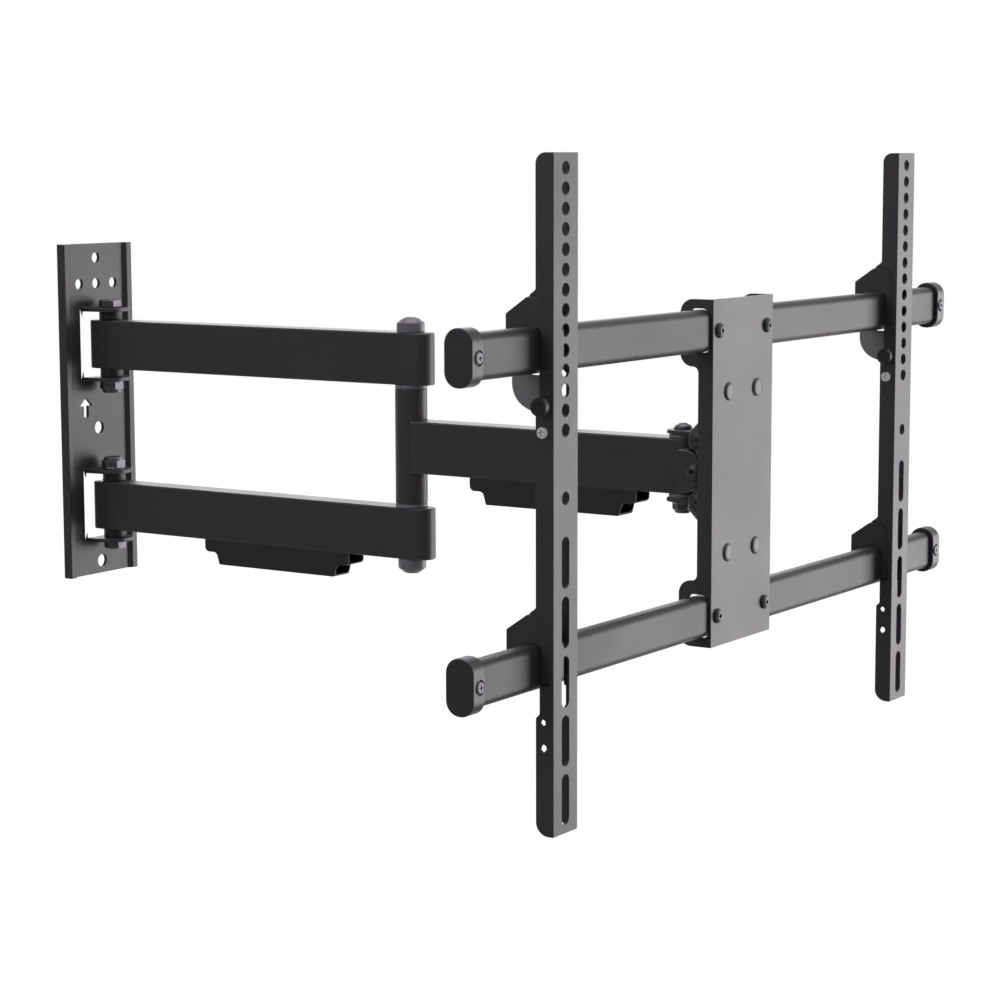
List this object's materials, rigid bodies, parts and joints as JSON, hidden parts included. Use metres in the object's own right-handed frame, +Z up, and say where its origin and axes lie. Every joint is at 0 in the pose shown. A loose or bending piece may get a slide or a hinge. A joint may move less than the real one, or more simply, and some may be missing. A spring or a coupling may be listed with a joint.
{
  "type": "full motion tv wall mount",
  "caption": "Full-motion television wall mount: wall plate, parallel arms, folding forearm, swivelling and tilting head, rails and slotted hook-on brackets.",
  "frame": {"origin": "centre of the wall plate's back face, on the wall", "axes": "+X along the wall to the right as seen from the room, +Y into the wall, +Z up; the television side faces -Y"},
  "size_m": [0.682, 0.6209, 0.43],
  "materials": {
    "powder_coat": "satin fine-textured black powder coat",
    "black_plastic": "fine-grained matt black plastic",
    "black_steel": "blackened zinc on steel fasteners",
    "latch_steel": "dark grey plated sheet steel",
    "bright_zinc": "bright zinc plated"
  },
  "bodies": {
    "wall_base": {"wall_plate": "powder_coat", "wall_bolt_upper": "black_steel", "wall_nut_upper": "black_steel", "wall_bolt_lower": "black_steel", "wall_nut_lower": "black_steel", "wall_bush_upper_top": "black_plastic", "wall_bush_upper_bottom": "black_plastic", "wall_bush_lower_top": "black_plastic", "wall_bush_lower_bottom": "black_plastic"},
    "parallel_arms": {"upper_arm": "powder_coat", "lower_arm": "powder_coat", "lower_arm_cable_cover": "black_plastic", "elbow_pin": "black_steel", "elbow_cap_top": "black_plastic", "elbow_cap_bottom": "black_plastic", "elbow_washer_top": "black_plastic", "elbow_washer_bottom": "black_plastic"},
    "forearm_body": {"forearm": "powder_coat", "forearm_cable_cover": "black_plastic"},
    "swivel_head": {"swivel_yoke": "powder_coat", "swivel_bolt": "black_steel", "swivel_nut": "black_steel", "swivel_washer_top": "black_plastic", "swivel_washer_bottom": "black_plastic", "tilt_bolt": "black_steel", "tilt_nut": "black_steel"},
    "tilting_frame": {"centre_plate": "powder_coat", "tilt_bracket": "powder_coat", "tilt_stop_screw_upper_left": "black_steel", "tilt_stop_screw_upper_right": "black_steel", "tilt_stop_screw_lower_left": "black_steel", "tilt_stop_screw_lower_right": "black_steel", "rivet_upper_left": "black_steel", "rivet_upper_right": "black_steel", "rivet_lower_left": "black_steel", "rivet_lower_right": "black_steel", "rail_screw_upper_left": "black_steel", "rail_screw_upper_right": "black_steel", "rail_screw_lower_left": "black_steel", "rail_screw_lower_right": "black_steel", "end_cap_upper_left": "black_plastic", "end_cap_upper_right": "black_plastic", "end_cap_lower_left": "black_plastic", "end_cap_lower_right": "black_plastic", "cap_screw_upper_left": "black_steel", "cap_screw_upper_right": "black_steel", "cap_screw_lower_left": "black_steel", "cap_screw_lower_right": "black_steel", "rail_upper": "powder_coat", "rail_lower": "powder_coat"},
    "bracket_left": {"tv_bracket_left": "powder_coat", "safety_screw_left": "bright_zinc"},
    "bracket_right": {"tv_bracket_right": "powder_coat", "safety_screw_right": "bright_zinc"},
    "latch_body_left": {"latch_left": "latch_steel", "latch_knob_left": "black_plastic"},
    "latch_body_right": {"latch_right": "latch_steel", "latch_knob_right": "black_plastic"}
  },
  "joints": [
    {"name": "wall_swivel", "type": "hinge", "parent": "wall_base", "child": "parallel_arms", "pos_m": [0, -0.0197, -0.012], "axis": [0, 0, 1], "range_deg": [-90, 90]},
    {"name": "elbow_fold", "type": "hinge", "parent": "parallel_arms", "child": "forearm_body", "pos_m": [0, -0.3253, -0.012], "axis": [0, 0, -1], "range_deg": [-135, 135]},
    {"name": "head_swivel", "type": "hinge", "parent": "forearm_body", "child": "swivel_head", "pos_m": [0, -0.5644, -0.012], "axis": [0, 0, 1], "range_deg": [-80, 80]},
    {"name": "tilt", "type": "hinge", "parent": "swivel_head", "child": "tilting_frame", "pos_m": [0, -0.592, -0.012], "axis": [1, 0, 0], "range_deg": [-5, 15]},
    {"name": "bracket_slide_left", "type": "slide", "parent": "tilting_frame", "child": "bracket_left", "axis": [1, 0, 0], "range_m": [-0.05, 0.14]},
    {"name": "bracket_slide_right", "type": "slide", "parent": "tilting_frame", "child": "bracket_right", "axis": [1, 0, 0], "range_m": [-0.14, 0.05]},
    {"name": "latch_turn_left", "type": "hinge", "parent": "bracket_left", "child": "latch_body_left", "pos_m": [-0.2482, -0.61325, 0.0534], "axis": [1, 0, 0], "range_deg": [-60, 0]},
    {"name": "latch_turn_right", "type": "hinge", "parent": "bracket_right", "child": "latch_body_right", "pos_m": [0.2482, -0.61325, 0.0534], "axis": [1, 0, 0], "range_deg": [-60, 0]}
  ]
}
